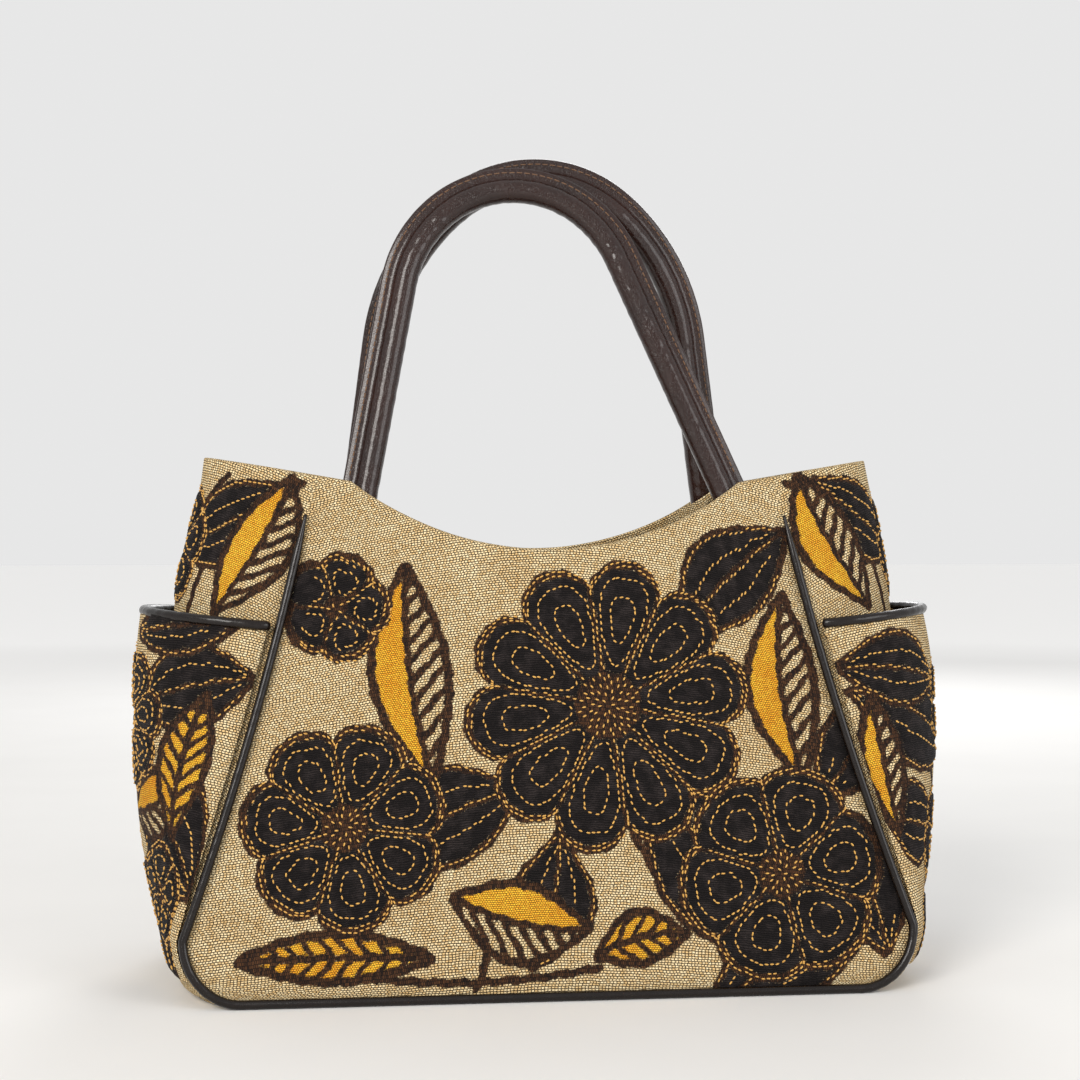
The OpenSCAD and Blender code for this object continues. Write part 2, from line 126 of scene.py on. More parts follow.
def rim_h(x):
    scoop = WING_H - SCOOP_DROP * (1 - (x / SCOOP_X) ** 2)
    wing = lerp(WING_H, BODY_H, (x - SCOOP_X) / (WING_X - SCOOP_X))
    return np.where(x < SCOOP_X, scoop, wing)


def front_rim(u):
    return rim_h(np.abs(u) * MOUTH_X)


def side_rim(a):
    return rim_h(MOUTH_X + WING_W * sind(a))


def front_depth(u, z):
    return seam_y(z) + FRONT_BULGE * sind(180 * z / BODY_H) * (1 - u * u)


def front_point(u, z, inset):
    u, z, inset = np.broadcast_arrays(u, z, inset)
    return np.stack([u * seam_x(z), inset - front_depth(u, z), z], -1)


def side_point(a, z, inset):
    a, z, inset = np.broadcast_arrays(a, z, inset)
    sx = seam_x(z)
    return np.stack([sx + (side_x(z) - inset - sx) * sind(a), -(seam_y(z) - inset) * cosd(a), z], -1)


def pocket_start(z):
    a, b = side_x(z) - seam_x(z), seam_y(z)
    return np.degrees((np.sqrt(a * a + 2 * b * (2 * PIPING_R + SEAM_GAP)) - a) / b)


def pocket_point(across, up, thick):
    across, up, thick = np.broadcast_arrays(across, up, thick)
    bow = sind(180 * across)
    z = lerp(POCKET_LOW, POCKET_H + POCKET_RISE * bow, up)
    start = pocket_start(z)
    stand_off = POCKET_GAP + POCKET_GAPE * (1 - (1 - up) ** 2.2) * np.maximum(bow, 0) ** 0.7
    return side_point(lerp(start, 180 - start, across), z, -stand_off - thick)


# Meshes from grids of points

def normals_of(grid):
    across = np.gradient(grid, axis=1)
    up = np.gradient(grid, axis=0)
    n = np.cross(across, up)
    return n / np.maximum(np.linalg.norm(n, axis=-1, keepdims=True), 1e-9)


def lengths_of(grid):
    """Distance walked across each row and up each column, as flat cloth coordinates."""
    across = np.linalg.norm(np.diff(grid, axis=1), axis=-1)
    up = np.linalg.norm(np.diff(grid, axis=0), axis=-1)
    s = np.concatenate([np.zeros((grid.shape[0], 1)), np.cumsum(across, 1)], 1)
    t = np.concatenate([np.zeros((1, grid.shape[1])), np.cumsum(up, 0)], 0)
    return s - s[:, -1:] / 2, t


def mesh_object(name, points, faces, material, uv=None, marks=None, turn=False):
    """New smooth object in metres; turn stands it on the opposite side of the bag."""
    points = np.asarray(points, float).reshape(-1, 3).copy()
    if turn:
        points[:, :2] *= -1
    mesh = bpy.data.meshes.new(name)
    mesh.from_pydata((points * MM).tolist(), [], [list(map(int, f)) for f in faces])
    if uv is not None:
        layer = mesh.uv_layers.new(name="flat")
        corner = np.empty(len(mesh.loops), int)
        mesh.loops.foreach_get("vertex_index", corner)
        layer.data.foreach_set("uv", np.asarray(uv, float).reshape(-1, 2)[corner].ravel())
    for key, values in (marks or {}).items():
        mesh.attributes.new(key, "FLOAT", "POINT").data.foreach_set("value", np.ravel(values))
    mesh.shade_smooth()
    mesh.materials.append(material)
    obj = bpy.data.objects.new(name, mesh)
    bpy.context.scene.collection.objects.link(obj)
    return obj


def grid_faces(rows, cols, wrap=False):
    k, j = np.meshgrid(np.arange(rows - 1), np.arange(cols if wrap else cols - 1), indexing="ij")
    a, n = k * cols, (j + 1) % cols
    return np.stack([a + j, a + n, a + cols + n, a + cols + j], -1).reshape(-1, 4)


def dress(obj, slot, *nodes):
    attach(obj, "root")
    if nodes:
        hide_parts(*nodes)
    return obj


# Woven motifs, drawn in flat millimetres; each paints layers given as a kind of weave and a distance

def wander(x, y):
    """Small wandering of the yarns that keeps woven outlines from being exact."""
    return (x + 0.4 * np.sin(0.61 * y + 0.23 * x) + 0.2 * np.sin(1.27 * y - 0.4 * x),
            y + 0.4 * np.sin(0.57 * x - 0.19 * y) + 0.2 * np.sin(1.33 * x + 0.3 * y))


class Flower:
    """Round flower of pile petals with stitched contours and a seed head."""

    def __init__(self, x, y, r, petals, turn=0.0, notch=0.2, eye=0.24):
        self.x, self.y, self.r, self.n, self.turn = x, y, r, petals, math.radians(turn)
        self.notch, self.eye = notch, eye

    def edge(self, a):
        return self.r * (1 - self.notch * (1 - np.abs(np.cos(self.n * (a - self.turn) / 2)) ** 0.55))

    def layers(self, x, y):
        dx, dy = x - self.x, y - self.y
        r, a = np.hypot(dx, dy), np.arctan2(dy, dx)
        body = (r - self.edge(a)) * 0.93
        place = (a - self.turn) * self.n / (2 * math.pi) + 0.5
        off = (place - np.round(place)) * 2 * math.pi / self.n
        gap = np.maximum(np.abs(r * np.sin(off)) - 0.9, self.eye * self.r - r)
        yield "band", body - BAND_W
        yield "dark", body
        yield "band", np.maximum(gap, body)
        yield "band", r - self.eye * self.r

    def petal(self, k, share):
        """Contour line inside petal k, a share of the petal's own size."""
        t = np.linspace(0, math.pi, 80)
        low, high = self.eye * 1.12, 0.93
        along = self.r * lerp(low, high, 0.5 - share * np.cos(t) / 2 + (1 - share) * 0.06)
        half = share * math.pi / self.n * np.sin(t) ** 0.7 * 0.86
        middle = self.turn + 2 * math.pi * k / self.n
        for side in (-1, 1):
            a = middle + side * half
            yield np.stack([self.x + along * np.cos(a), self.y + along * np.sin(a)], -1)

    def rows(self):
        a = np.linspace(0, 2 * math.pi, 900)
        for out in (0.2, 0.8):
            r = self.edge(a) + BAND_W * out
            yield "band", np.stack([self.x + r * np.cos(a), self.y + r * np.sin(a)], -1)
        for k in range(self.n):
            for share in ((0.96, 0.5) if self.r > 28 else (0.7,)):
                for line in self.petal(k, share):
                    yield "dark", line
            c, s = (f(self.turn + 2 * math.pi * (k + 0.5) / self.n) for f in (math.cos, math.sin))
            d = np.linspace(self.eye, 1.0, 60)[:, None] * self.r
            yield "band", np.concatenate([self.x + d * c, self.y + d * s], -1)
        for i in range(int(0.32 * (self.eye * self.r) ** 2)):
            d, turn = self.eye * self.r * math.sqrt((i + 0.5) / (0.32 * (self.eye * self.r) ** 2)), 2.39996 * i
            seed = np.array([self.x + d * math.cos(turn), self.y + d * math.sin(turn)])
            yield "band", np.stack([seed, seed + [math.cos(turn), math.sin(turn)]])


class Leaf:
    """Pointed leaf on a bowed rib: gold, dark, or gold on one half and striped on the other."""

    def __init__(self, x, y, angle, length, width, bow=0.0, fill="half", veins=8):
        self.x, self.y, self.a = x, y, math.radians(angle)
        self.length, self.width, self.bow, self.fill, self.veins = length, width, bow, fill, veins

    def half_width(self, t):
        return self.width / 2 * np.sin(math.pi * np.clip(t, 0, 1))

    def layers(self, x, y):
        dx, dy = x - self.x, y - self.y
        t = (dx * math.cos(self.a) + dy * math.sin(self.a)) / self.length
        n = -dx * math.sin(self.a) + dy * math.cos(self.a) - self.bow * 4 * t * (1 - t)
        past = np.maximum(np.maximum(-t, t - 1), 0) * self.length
        body = np.where(past > 0, np.hypot(past, n), (np.abs(n) - self.half_width(t)) * 0.85)
        slant = (t * self.length - 0.9 * np.abs(n)) * self.veins / self.length
        vein = np.abs(slant - np.round(slant)) * self.length / self.veins * 0.74
        yield "band", body - BAND_W * 0.8
        if self.fill == "dark":
            yield "dark", body
        else:
            yield "gold", body
            if self.fill == "gold":
                yield "band", np.maximum(vein - 0.7, body)
            else:
                yield "ground", np.maximum(body, n)
                yield "band", np.maximum(np.maximum(vein - 1.0, body), n)
        yield "band", np.maximum(np.abs(n) - 1.1, body)

    def rows(self):
        if self.fill != "dark":
            return
        t = np.linspace(0, 1, 300)
        c, s = math.cos(self.a), math.sin(self.a)
        for share, out, kind in ((1, 1.4, "band"), (-1, 1.4, "band"), (0, 0, "band"), (0.5, 0, "dark"),
                                 (-0.5, 0, "dark")):
            n = share * self.half_width(t) + np.sign(share) * out + self.bow * 4 * t * (1 - t)
            along = t * self.length
            yield kind, np.stack([self.x + along * c - n * s, self.y + along * s + n * c], -1)


class Stem:
    """Bowed line of embroidery between two places."""

    def __init__(self, x0, y0, x1, y1, bow):
        t = np.linspace(0, 1, 60)
        length = math.hypot(x1 - x0, y1 - y0)
        nx, ny = (y0 - y1) / length, (x1 - x0) / length
        swing = bow * 4 * t * (1 - t)
        self.line = np.stack([lerp(x0, x1, t) + nx * swing, lerp(y0, y1, t) + ny * swing], -1)

    def layers(self, x, y):
        near = np.full_like(x, 99.0)
        for px, py in self.line:
            near = np.minimum(near, np.hypot(x - px, y - py))
        yield "band", near - BAND_W * 0.45

    def rows(self):
        return ()


def weave_motifs(x, y, motifs):
    """Signed distances to the dark, gold and outline fields, later motifs lying over earlier ones."""
    x, y = wander(x, y)
    fields = {kind: np.full_like(x, OUTSIDE) for kind in ("ground", "dark", "gold", "band")}
    for motif in motifs:
        for kind, distance in motif.layers(x, y):
            for other in fields:
                fields[other] = (np.minimum(fields[other], distance) if other == kind
                                 else np.maximum(fields[other], -distance))
    return fields["dark"], fields["gold"], fields["band"]


def bead_places(motifs):
    """Places and headings of the gold running stitches that lie on the outlines and in the petals."""
    found = []
    for i, motif in enumerate(motifs):
        for kind, line in motif.rows():
            walked = np.concatenate([[0], np.cumsum(np.linalg.norm(np.diff(line, axis=0), axis=-1))])
            count = max(1, int(walked[-1] / BEAD_PITCH))
            at = (np.arange(count) + 0.5) * walked[-1] / count
            here, ahead = ([np.interp(at + d, walked, line[:, c]) for c in (0, 1)] for d in (0, 0.4))
            dark, gold, band = weave_motifs(*here, motifs)
            keep = (band if kind == "band" else dark) < -0.4
            for later in motifs[i + 1:]:
                keep &= next(later.layers(*here))[1] > 0.3
            found.append(np.stack([*here, ahead[0] - here[0], ahead[1] - here[1]], -1)[keep])
    return np.concatenate(found)


# Motifs as the raised fields of the solids have them, over smaller leaves and stems that fill between

PANEL_MOTIFS = [
    Stem(-70, 60, -56, 102, 4), Stem(-126, 20, 20, 14, -8), Stem(60, 40, 26, 130, 10),
    Stem(-40, 44, -36, 6, 6),
    Leaf(64, 164, 44, 70, 38, 5, "dark"), Leaf(-16, 94, 206, 72, 40, -5, "dark"),
    Leaf(44, 92, 304, 92, 54, 8, "dark"), Leaf(2, 72, 258, 58, 34, 3, "dark"),
    Leaf(126, 88, 60, 58, 30, -4, "dark"), Leaf(146, 30, 206, 84, 36, -4, "dark"),
    Leaf(134, 70, 292, 56, 34, 4, "dark"),
    Leaf(20, 20, 12, 40, 20, 3, "gold", 5), Leaf(-58, 20, 180, 84, 18, -1, "gold", 10),
    Leaf(-56, 100, 97, 96, 32, 4, veins=11), Leaf(-46, 46, -14, 62, 32, -4, veins=8),
    Leaf(118, 98, 95, 84, 30, 5, veins=10),
    Flower(26, 132, 64, 10, 8, 0.22), Flower(-96, 78, 44, 7, 20), Flower(106, 54, 46, 6, 12, 0.16),
    Flower(-100, 178, 22, 5, 0),
]
POCKET_ARC = 160
POCKET_MOTIFS = [
    Stem(-60, 10, 60, 140, 16), Stem(40, 4, -50, 120, 12),
    Leaf(18, 84, 322, 76, 46, 5, "dark"), Leaf(-12, 88, 150, 74, 46, -5, "dark"),
    Leaf(26, 116, 18, 56, 36, 3, "dark"), Leaf(-22, 124, 168, 58, 30, -3, "dark"),
    Leaf(-34, 58, 164, 48, 34, 2, "dark"), Leaf(4, 42, 322, 76, 42, 4, "dark"),
    Leaf(-30, 30, 226, 46, 32, 2, "dark"), Leaf(16, 148, 12, 54, 22, 0, "dark"),
    Leaf(10, 66, 24, 56, 26, -5, "half"), Leaf(-8, 14, 176, 44, 16, 2, "gold", 6),
    Leaf(54, 62, 84, 62, 24, 3, "gold", 8), Leaf(-72, 60, 86, 60, 20, 0, "half"),
    Flower(6, 108, 31, 8, 10), Flower(-22, 48, 25, 6, 0, 0.16), Flower(44, 34, 21, 5, 12),
]
SIDE_ARC = 170
SIDE_MOTIFS = [
    Stem(-80, 236, -30, 172, 12), Stem(80, 236, 30, 172, -12), Stem(-70, 196, 40, 240, -10),
    Leaf(-6, 206, 152, 66, 34, 4, "dark"), Leaf(12, 206, 24, 66, 34, -4, "dark"),
    Leaf(-48, 178, 112, 66, 30, 4, "half", 8), Leaf(50, 176, 68, 66, 30, -4, "half", 8),
    Flower(3, 206, 27, 6, 10, 0.18),
]


def relief(dark, gold, band):
    """Height of the woven surface: raised pile, slightly raised gold, sunken outlines."""
    pile = smooth(-dark / 1.6 + 0.2) * PILE
    return pile + smooth(-gold / 1.2) * GOLD_RISE - smooth(-band / 0.8) * BAND_DIP


def undulation(s, t, seed, size):
    """Soft waves of slack cloth."""
    rng = np.random.default_rng(seed)
    total = np.zeros_like(s)
    for _ in range(7):
        angle, phase = rng.uniform(0, math.pi), rng.uniform(0, 2 * math.pi)
        wave = rng.uniform(46, 120)
        total += np.sin((s * math.cos(angle) + t * math.sin(angle)) * 2 * math.pi / wave + phase)
    return total * size / 3.5


def counts(width, height):
    return int(height / STEP) + 1, int(width / STEP) + 1


def woven_wall(name, base, plan, motifs, waves, seam_calm, slot_nodes, turn=False):
    """Cloth wall from a function of shares across and up it, with its relief and its stitches."""
    coarse = base(np.linspace(0, 1, 60)[None, :], np.linspace(0, 1, 60)[:, None])
    s, t = lengths_of(coarse)
    rows, cols = counts(np.ptp(s, axis=1).max(), t.max())
    across, up = np.linspace(0, 1, cols)[None, :], np.linspace(0, 1, rows)[:, None]
    grid = base(across, up)
    s, t = lengths_of(grid)
    px, py = plan(grid, across, up)
    dark, gold, band = weave_motifs(px, py, motifs)
    edge = np.minimum(np.minimum(across, 1 - across) * np.ptp(s, axis=1)[:, None], t)
    calm = smooth(edge / seam_calm)
    rise = relief(dark, gold, band) * smooth(edge / 3) + undulation(s, t, waves, SLACK) * calm
    normal = normals_of(grid)
    cloth = grid + normal * rise[..., None]
    # The rim turns over and runs a little way down inside
    top, inward = cloth[-1], -normal[-1]
    roll = [top + inward * PANEL_T / 2 * (1 - cosd(a)) + np.array([0, 0, PANEL_T / 2 * sind(a)])
            for a in (30, 60, 90, 120, 150, 180)]
    roll += [roll[-1] - np.array([0, 0, d]) for d in (3.0, 7.0)]
    points = np.concatenate([cloth, np.stack(roll)])
    extra = np.arange(1, len(roll) + 1) * 1.2
    uv = np.stack([np.concatenate([s, np.repeat(s[-1:], len(roll), 0)]),
                   np.concatenate([t, t[-1:] + extra[:, None]])], -1)
    inside = np.where(np.arange(len(roll)) < 3, -OUTSIDE, OUTSIDE)[:, None]
    marks = {key: np.concatenate([v, np.maximum(v[-1:], inside)])
             for key, v in (("dark", dark), ("gold", gold), ("band", band))}
    obj = mesh_object(name, points, grid_faces(len(points), cols), TAPESTRY, uv, marks, turn)
    dress(obj, "tapestry", *slot_nodes)
    width, height = float(np.ptp(s, axis=1).max()) * MM, float(t.max()) * MM
    area = float((np.linalg.norm(np.cross(np.diff(grid, axis=0)[:, :-1], np.diff(grid, axis=1)[:-1]), axis=-1)
                  ).sum()) * MM * MM
    stitch(name + "_stitches", cloth, normal, px, py, motifs, turn)
    return obj


def stitch(name, cloth, normal, px, py, motifs, turn):
    """Gold running stitches as small raised beads on the cloth."""
    beads = bead_places(motifs)
    rows, cols = px.shape
    ring = np.array([[math.cos(a), math.sin(a)] for a in np.linspace(0, 2 * math.pi, 7)[:-1]])
    points, faces = [], []
    for x, y, hx, hy in beads:
        k = int(np.clip(np.searchsorted(py[:, cols // 2], y), 1, rows - 2))
        j = int(np.searchsorted(px[k], x))
        if not 3 < j < cols - 4:
            continue
        k = int(np.searchsorted(py[:, j], y))
        j = int(np.searchsorted(px[min(k, rows - 1)], x))
        if not (3 < j < cols - 4 and 3 < k < rows - 3):
            continue
        centre, n = cloth[k, j], normal[k, j]
        right = cloth[k, j + 1] - cloth[k, j - 1]
        right /= np.linalg.norm(right)
        above = np.cross(n, right)
        ahead = right * hx + above * hy
        ahead /= max(np.linalg.norm(ahead), 1e-9)
        beside = np.cross(n, ahead)
        first = len(points)
        for height, size in ((-0.25, 1.0), (0.3, 0.9), (0.5, 0.5)):
            for c, d in ring:
                points.append(centre + ahead * BEAD_L * size * c + beside * BEAD_W * size * d + n * height)
        for level in (0, 6):
            for i in range(6):
                a, b = first + level + i, first + level + (i + 1) % 6
                faces.append((a, b, b + 6, a + 6))
        faces.append(tuple(first + 12 + i for i in range(6)))
        faces.append(tuple(first + 5 - i for i in range(6)))
    if points:
        dress(mesh_object(name, points, faces, GOLD_THREAD, turn=turn), "tapestry")


# Materials

class Shader:
    """Short names for building a material's nodes."""

    def __init__(self, name, **sockets):
        self.material = bpy.data.materials.new(name)
        self.material.use_nodes = True
        self.nodes = self.material.node_tree.nodes
        self.links = self.material.node_tree.links
        self.bsdf = self.nodes["Principled BSDF"]
        for key, value in sockets.items():
            self.bsdf.inputs[key.replace("_", " ")].default_value = value

    def add(self, kind, inputs=None, **settings):
        n = self.nodes.new("ShaderNode" + kind)
        for key, value in settings.items():
            setattr(n, key, value)
        for key, value in (inputs or {}).items():
            if isinstance(value, bpy.types.NodeSocket):
                self.links.new(value, n.inputs[key])
            else:
                n.inputs[key].default_value = value
        return n

    def math(self, op, a, b=0.0, clamp=False):
        return self.add("Math", {0: a, 1: b}, operation=op, use_clamp=clamp).outputs[0]

    def mix(self, fac, a, b, blend="MIX"):
        return self.add("Mix", {0: fac, 6: a, 7: b}, data_type="RGBA", blend_type=blend).outputs[2]

    def mark(self, name, rag, width=0.5):
        """Share from 0 outside to 1 inside a woven field, its edge made ragged by the yarns."""
        value = self.math("ADD", self.add("Attribute", attribute_name=name).outputs["Fac"], rag)
        return self.math("ADD", self.math("MULTIPLY", value, -1.0 / width), 0.5, clamp=True)

    def noise(self, vector, scale, detail=2.0, rough=0.5):
        return self.add("TexNoise", {"Vector": vector, "Scale": scale, "Detail": detail, "Roughness": rough})

    def brick(self, vector, first, second, gap, width, height, mortar, soft=0.6):
        return self.add("TexBrick", {"Vector": vector, "Color1": first, "Color2": second, "Mortar": gap,
                                     "Scale": 1.0, "Mortar Size": mortar, "Mortar Smooth": soft, "Bias": 0.0,
                                     "Brick Width": width, "Row Height": height}, offset=0.5)

    def finish(self, colour=None, height=None, distance=0.0004, strength=1.0, rough=None):
        if colour is not None:
            self.links.new(colour, self.bsdf.inputs["Base Color"])
        if rough is not None:
            self.links.new(rough, self.bsdf.inputs["Roughness"])
        if height is not None:
            bump = self.add("Bump", {"Height": height, "Distance": distance, "Strength": strength})
            self.links.new(bump.outputs[0], self.bsdf.inputs["Normal"])
        return self.material


def rgb(r, g, b):
    """Linear colour from everyday 0 to 255 values."""
    def line(c):
        c /= 255
        return c / 12.92 if c <= 0.04045 else ((c + 0.055) / 1.055) ** 2.4
    return (line(r), line(g), line(b), 1.0)


def tapestry():
    m = Shader("tapestry", Roughness=0.86, Specular_IOR_Level=0.12, Sheen_Weight=0.03, Sheen_Roughness=0.4)
    flat = m.add("UVMap", uv_map="flat").outputs[0]
    wander = m.noise(flat, 0.22, 2.0).outputs["Color"]
    shift = m.add("VectorMath", {0: wander, 1: (-0.5, -0.5, -0.5)}, operation="ADD").outputs[0]
    shift = m.add("VectorMath", {0: shift, "Scale": 1.1}, operation="SCALE").outputs[0]
    yarn = m.add("VectorMath", {0: flat, 1: shift}, operation="ADD").outputs[0]
    part = m.add("SeparateXYZ", {0: yarn})
    row = m.math("FLOOR", m.math("DIVIDE", part.outputs[1], 1.15))
    slip = m.add("TexWhiteNoise", {"W": row}, noise_dimensions="1D").outputs["Value"]
    grain = m.add("CombineXYZ", {0: m.math("ADD", part.outputs[0], m.math("MULTIPLY", slip, 0.9)),
                                 1: part.outputs[1]}).outputs[0]
    fleck = m.noise(flat, 0.75, 2.0, 0.7).outputs["Fac"]
    rag = m.math("MULTIPLY", m.math("SUBTRACT", m.noise(flat, 0.9, 1.0).outputs["Fac"], 0.5), 1.8)
    ground = m.brick(grain, rgb(246, 226, 182), rgb(222, 188, 132), rgb(58, 41, 24), 1.55, 1.15, 0.27, 1.0)
    gold = m.brick(yarn, rgb(244, 192, 58), rgb(226, 160, 42), rgb(112, 70, 18), 1.15, 0.95, 0.15, 0.9)
    band = m.brick(yarn, rgb(80, 53, 34), rgb(32, 23, 20), rgb(12, 9, 8), 0.95, 1.7, 0.13, 0.8)
    blotch = m.noise(flat, 0.035, 3.0).outputs["Fac"]
    tuft = m.noise(flat, 0.95, 3.0, 0.7).outputs["Fac"]
    rows = m.add("TexWave", {"Vector": yarn, "Scale": 0.3, "Distortion": 4.0, "Detail": 2.0},
                 bands_direction="Y").outputs["Fac"]
    pile = m.math("MULTIPLY", tuft, m.math("ADD", m.math("MULTIPLY", rows, 0.7), 0.3))
    # Colour of the dark pile: its tufts and rows are the yarn's own texture, and the lighter patches mixed in with
    # them are painted sheen
    patches = m.noise(flat, 0.13, 3.0, 0.6).outputs["Fac"]
    painted_sheen = m.math("MULTIPLY", m.math("SUBTRACT", patches, 0.45, clamp=True), 3.0, clamp=True)
    pile_and_painted_sheen = m.math("MULTIPLY", pile, m.math("ADD", m.math("MULTIPLY", painted_sheen, 1.5), 0.55), clamp=True)
    dark = m.mix(pile_and_painted_sheen, rgb(3, 3, 4), rgb(60, 53, 52))
    worn = m.math("MULTIPLY", m.math("SUBTRACT", blotch, 0.42, clamp=True), 1.2, clamp=True)
    base = m.mix(worn, ground.outputs["Color"], rgb(216, 192, 150), "MULTIPLY")
    specks = m.math("MULTIPLY", m.math("SUBTRACT", fleck, 0.56, clamp=True), 5.0, clamp=True)
    base = m.mix(m.math("MULTIPLY", specks, 0.7), base, rgb(82, 64, 40))
    warm = m.mix(m.math("MULTIPLY", worn, 1.8, clamp=True), gold.outputs["Color"], rgb(236, 186, 120), "MULTIPLY")
    in_gold, in_dark = m.mark("gold", rag), m.mark("dark", rag, 0.8)
    in_band = m.mark("band", m.math("SUBTRACT", rag, 0.5))
    colour = m.mix(in_gold, base, warm)
    colour = m.mix(in_band, colour, band.outputs["Color"])
    colour = m.mix(in_dark, colour, dark)
    lift = m.mix(in_gold, ground.outputs["Fac"], gold.outputs["Fac"])
    lift = m.mix(in_band, lift, band.outputs["Fac"])
    height = m.mix(in_dark, m.math("SUBTRACT", 1.0, lift), pile)
    return m.finish(colour, height, 0.0008)


def gold_thread():
    m = Shader("gold_thread", Roughness=0.6, Sheen_Weight=0.2)
    where = m.add("TexCoord").outputs["Object"]
    tone = m.noise(where, 420.0, 2.0).outputs["Fac"]
    return m.finish(m.mix(tone, rgb(168, 112, 40), rgb(232, 184, 88)), tone, 0.0002)


def leather(name, low, high, rough, grain, crease, coat, bump):
    m = Shader(name, Roughness=rough, Specular_IOR_Level=0.25, Coat_Weight=coat, Coat_Roughness=0.12)
    where = m.add("TexCoord").outputs["Object"]
    cells = m.add("TexVoronoi", {"Vector": where, "Scale": grain}, feature="DISTANCE_TO_EDGE").outputs["Distance"]
    folds = m.noise(where, crease, 4.0, 0.6).outputs["Fac"]
    tone = m.noise(where, 38.0, 3.0).outputs["Fac"]
    height = m.math("ADD", m.math("MULTIPLY", m.math("MINIMUM", cells, 0.12), 3.0), folds)
    polish = m.math("ADD", m.math("MULTIPLY", folds, 0.35), rough - 0.17, clamp=True)
    return m.finish(m.mix(tone, low, high), height, 0.0005, bump, polish)


def plain_cloth(name, first, second, gap, size):
    m = Shader(name, Roughness=0.9, Sheen_Weight=0.1)
    flat = m.add("UVMap", uv_map="flat").outputs[0]
    weave = m.brick(flat, first, second, gap, size, size * 0.7, size * 0.08, 0.9)
    return m.finish(weave.outputs["Color"], m.math("SUBTRACT", 1.0, weave.outputs["Fac"]), 0.0003)


def grained(name, low, high, scale, rough, metal=0.0):
    m = Shader(name, Roughness=rough, Metallic=metal)
    where = m.add("TexCoord").outputs["Object"]
    tone = m.noise(where, scale, 4.0, 0.6).outputs["Fac"]
    return m.finish(m.mix(tone, low, high), tone, 0.0002, 0.5)


GOLD_THREAD = gold_thread()
TAPESTRY = tapestry()
HANDLE_LEATHER = leather("handle_leather", rgb(20, 8, 5), rgb(46, 20, 12), 0.25, 900.0, 160.0, 0.4, 0.45)
PIPING_LEATHER = leather("piping_leather", rgb(10, 6, 4), rgb(22, 13, 9), 0.26, 1300.0, 260.0, 0.2, 0.12)
LINING_CLOTH = plain_cloth("lining_cloth", rgb(176, 146, 104), rgb(160, 130, 90), rgb(96, 74, 46), 0.9)
BOARD = grained("board", rgb(120, 110, 96), rgb(146, 136, 120), 300.0, 0.9)
ROPE = grained("rope", rgb(196, 186, 164), rgb(226, 218, 200), 500.0, 0.95)
SNAP = grained("snap_metal", rgb(150, 122, 70), rgb(186, 156, 96), 240.0, 0.35, 1.0)
EDGE_THREAD = grained("edge_thread", rgb(92, 66, 48), rgb(128, 96, 70), 600.0, 0.7)

# Cloth walls

BOTTOM_Z = 0.4


def front_base(across, up):
    u = 2 * across - 1
    return front_point(u, lerp(BOTTOM_Z, front_rim(u), up), 0)


def side_base(across, up):
    a = 180 * across
    return side_point(a, lerp(BOTTOM_Z, side_rim(a), up), 0)


def pocket_base(across, up):
    return pocket_point(across, up, POCKET_T)


def panel_plan(grid, across, up):
    return grid[..., 0], grid[..., 2]


def side_plan(grid, across, up):
    return np.broadcast_to((across - 0.5) * SIDE_ARC, grid.shape[:2]), grid[..., 2]


def pocket_plan(grid, across, up):
    x, y = np.broadcast_arrays((across - 0.5) * POCKET_ARC, up * (POCKET_H - POCKET_LOW))
    return x, y


woven_wall("front_cloth", front_base, panel_plan, PANEL_MOTIFS, 3, 30,
           ["front_panel", "front_dark_fields", "front_gold_fields"])
woven_wall("back_cloth", front_base, panel_plan, PANEL_MOTIFS, 5, 30, ["back_panel"], turn=True)
for side, turn, seed in (("right", False, 7), ("left", True, 8)):
    woven_wall(side + "_side_cloth", side_base, side_plan, SIDE_MOTIFS, seed, 30, [side + "_side_panel"], turn)
    woven_wall(side + "_pocket_cloth", pocket_base, pocket_plan, POCKET_MOTIFS, seed + 2, 24,
               [side + "_pocket", side + "_pocket_fields"], turn)


# Rings round the whole bag for the facing, the lining and the base

def ring(level, inset, pouch=0.0):
    us = np.linspace(-1, 1, 181)
    aa = np.linspace(0, 180, 101)[1:-1]
    x = np.abs(us) * MOUTH_X
    past = np.maximum(np.abs(x - HANDLE_X - POUCH_OUT) - POUCH_HALF, 0)
    swing = pouch * np.exp(-(past / POUCH_FALL) ** 2)
    half = np.concatenate([front_point(us, level(front_rim(us)), inset + swing * (np.abs(us) < 1)),
                           side_point(aa, level(side_rim(aa)), inset)])
    return np.concatenate([half, half * [-1, -1, 1]])


def ring_sheet(name, rings, material, slot, nodes, caps=()):
    grid = np.stack(rings)
    rows, cols = grid.shape[:2]
    s, t = lengths_of(grid)
    marks = {key: np.full((rows, cols), OUTSIDE) for key in ("dark", "gold", "band")}
    faces = [list(f) for f in grid_faces(rows, cols, wrap=True)]
    faces += [list(range(cols))[::-1]] if "bottom" in caps else []
    faces += [list(range((rows - 1) * cols, rows * cols))] if "top" in caps else []
    obj = mesh_object(name, grid, faces, material, np.stack([s, t], -1), marks)
    return dress(obj, slot, *nodes), s, t


POUCH_DEPTH = 2 * HANDLE_R + 2
facing_drops = np.linspace(FACING_H, 0, 28)
facing_rings = [ring(lambda rim, d=d: rim - d, FACING_INSET + FACING_T,
                     POUCH_DEPTH * float(smooth((FACING_H - d) / (FACING_H - TUCK - 2))))
                for d in facing_drops]
facing_rings.append(ring(lambda rim: rim + 0.6, FACING_INSET + FACING_T / 2, POUCH_DEPTH))
facing_rings.append(ring(lambda rim: rim, FACING_INSET, POUCH_DEPTH))
facing, s, t = ring_sheet("rim_facing_cloth", facing_rings, TAPESTRY, "tapestry", ["rim_facing"])
float(np.ptp(s, axis=1).max()) * MM

